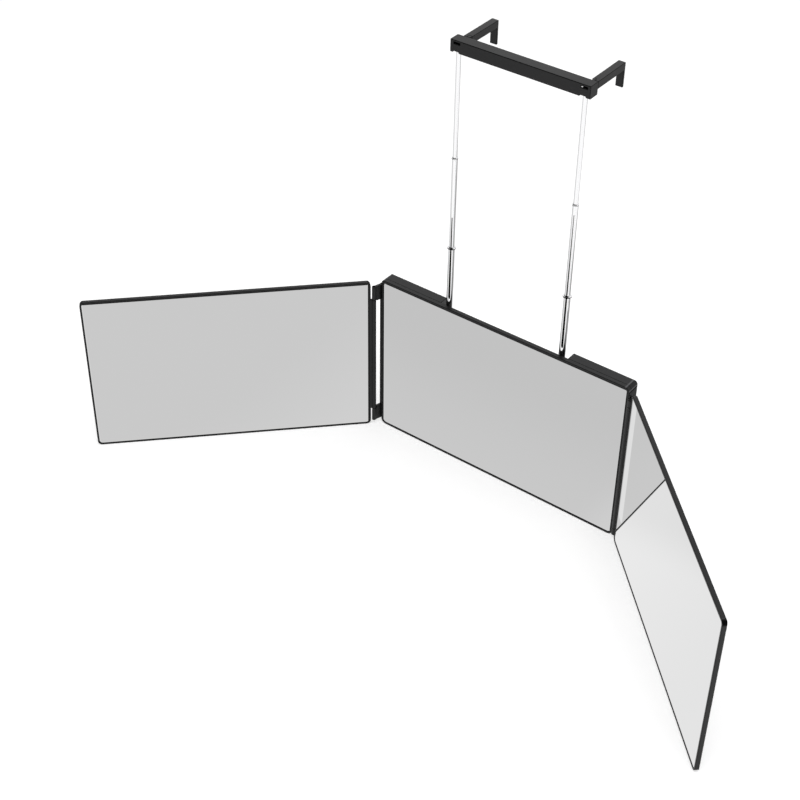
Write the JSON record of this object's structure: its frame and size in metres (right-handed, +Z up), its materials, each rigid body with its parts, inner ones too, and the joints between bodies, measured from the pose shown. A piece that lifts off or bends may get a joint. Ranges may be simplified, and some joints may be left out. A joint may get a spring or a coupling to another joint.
{
  "type": "tri-fold hair cutting mirror",
  "caption": "Folding mirror for cutting one's own hair: a centre panel, a folding side leaf on each side and a telescoping bracket that hooks over a door.",
  "frame": {"origin": "on the underside of the centre panel, in the middle of its width and of its depth", "axes": "+X to the right along the centre panel as one looks into it, +Y to its back, where the door is, +Z up along the rods"},
  "size_m": [0.72, 0.2762, 0.4707],
  "materials": {
    "housing_plastic": "fine satin moulding",
    "mirror_glass": "silvered float glass with polished edges",
    "chrome_tube": "polished plating",
    "steel_pin": "drawn steel"
  },
  "bodies": {
    "panel": {"centre_tray": "housing_plastic", "centre_mirror": "mirror_glass", "back_housing": "housing_plastic", "back_screws": "steel_pin", "left_guide_tube": "steel_pin", "right_guide_tube": "steel_pin", "left_guide_collar": "housing_plastic", "right_guide_collar": "housing_plastic", "right_hinge_pin": "steel_pin"},
    "left_lower": {"left_lower_tube": "chrome_tube"},
    "left_middle": {"left_middle_tube": "chrome_tube"},
    "bracket": {"left_upper_tube": "chrome_tube", "hook_crossbar": "housing_plastic", "left_hook_pin": "steel_pin", "right_hook_pin": "steel_pin"},
    "right_lower": {"right_lower_tube": "chrome_tube"},
    "right_middle": {"right_middle_tube": "chrome_tube"},
    "right_upper": {"right_upper_tube": "chrome_tube"},
    "left_hook": {"left_hook_arm": "housing_plastic"},
    "right_hook": {"right_hook_arm": "housing_plastic"},
    "link": {"link_top": "housing_plastic", "link_bottom": "housing_plastic", "link_pin_inner": "steel_pin", "link_pin_outer": "steel_pin"},
    "left_leaf": {"left_leaf_tray": "housing_plastic", "left_mirror": "mirror_glass"},
    "right_leaf": {"right_leaf_tray": "housing_plastic", "right_mirror": "mirror_glass"}
  },
  "joints": [
    {"name": "left_lower_slide", "type": "slide", "parent": "panel", "child": "left_lower", "axis": [0, 0, 1], "range_m": [-0.081, 0.04]},
    {"name": "left_middle_slide", "type": "slide", "parent": "left_lower", "child": "left_middle", "axis": [0, 0, 1], "range_m": [-0.0976, 0.025]},
    {"name": "left_upper_slide", "type": "slide", "parent": "left_middle", "child": "bracket", "axis": [0, 0, 1], "range_m": [-0.1073, 0.015]},
    {"name": "right_lower_slide", "type": "slide", "parent": "panel", "child": "right_lower", "axis": [0, 0, 1], "range_m": [-0.081, 0.04]},
    {"name": "right_middle_slide", "type": "slide", "parent": "right_lower", "child": "right_middle", "axis": [0, 0, 1], "range_m": [-0.0976, 0.025]},
    {"name": "right_upper_slide", "type": "slide", "parent": "right_middle", "child": "right_upper", "axis": [0, 0, 1], "range_m": [-0.1073, 0.015]},
    {"name": "link_hinge", "type": "hinge", "parent": "panel", "child": "link", "pos_m": [-0.1474, -0.0042, 0.09], "axis": [0, 0, 1], "range_deg": [-27, 6.9]},
    {"name": "left_leaf_hinge", "type": "hinge", "parent": "link", "child": "left_leaf", "pos_m": [-0.15048, -0.01369, 0.09], "axis": [0, 0, 1], "range_deg": [-42, 128.1]},
    {"name": "right_leaf_hinge", "type": "hinge", "parent": "panel", "child": "right_leaf", "pos_m": [0.148, -0.0091, 0.09], "axis": [0, 0, 1], "range_deg": [-135, 45]},
    {"name": "left_hook_fold", "type": "hinge", "parent": "bracket", "child": "left_hook", "pos_m": [-0.0621, 0.01035, 0.4672], "axis": [0, 0, 1], "range_deg": [-90, 0]},
    {"name": "right_hook_fold", "type": "hinge", "parent": "bracket", "child": "right_hook", "pos_m": [0.0668, 0.01035, 0.4672], "axis": [0, 0, 1], "range_deg": [0, 90]}
  ],
  "couplings": [
    {"joint": "right_lower_slide", "follows": "left_lower_slide", "ratio": 1},
    {"joint": "right_middle_slide", "follows": "left_middle_slide", "ratio": 1},
    {"joint": "right_upper_slide", "follows": "left_upper_slide", "ratio": 1}
  ]
}
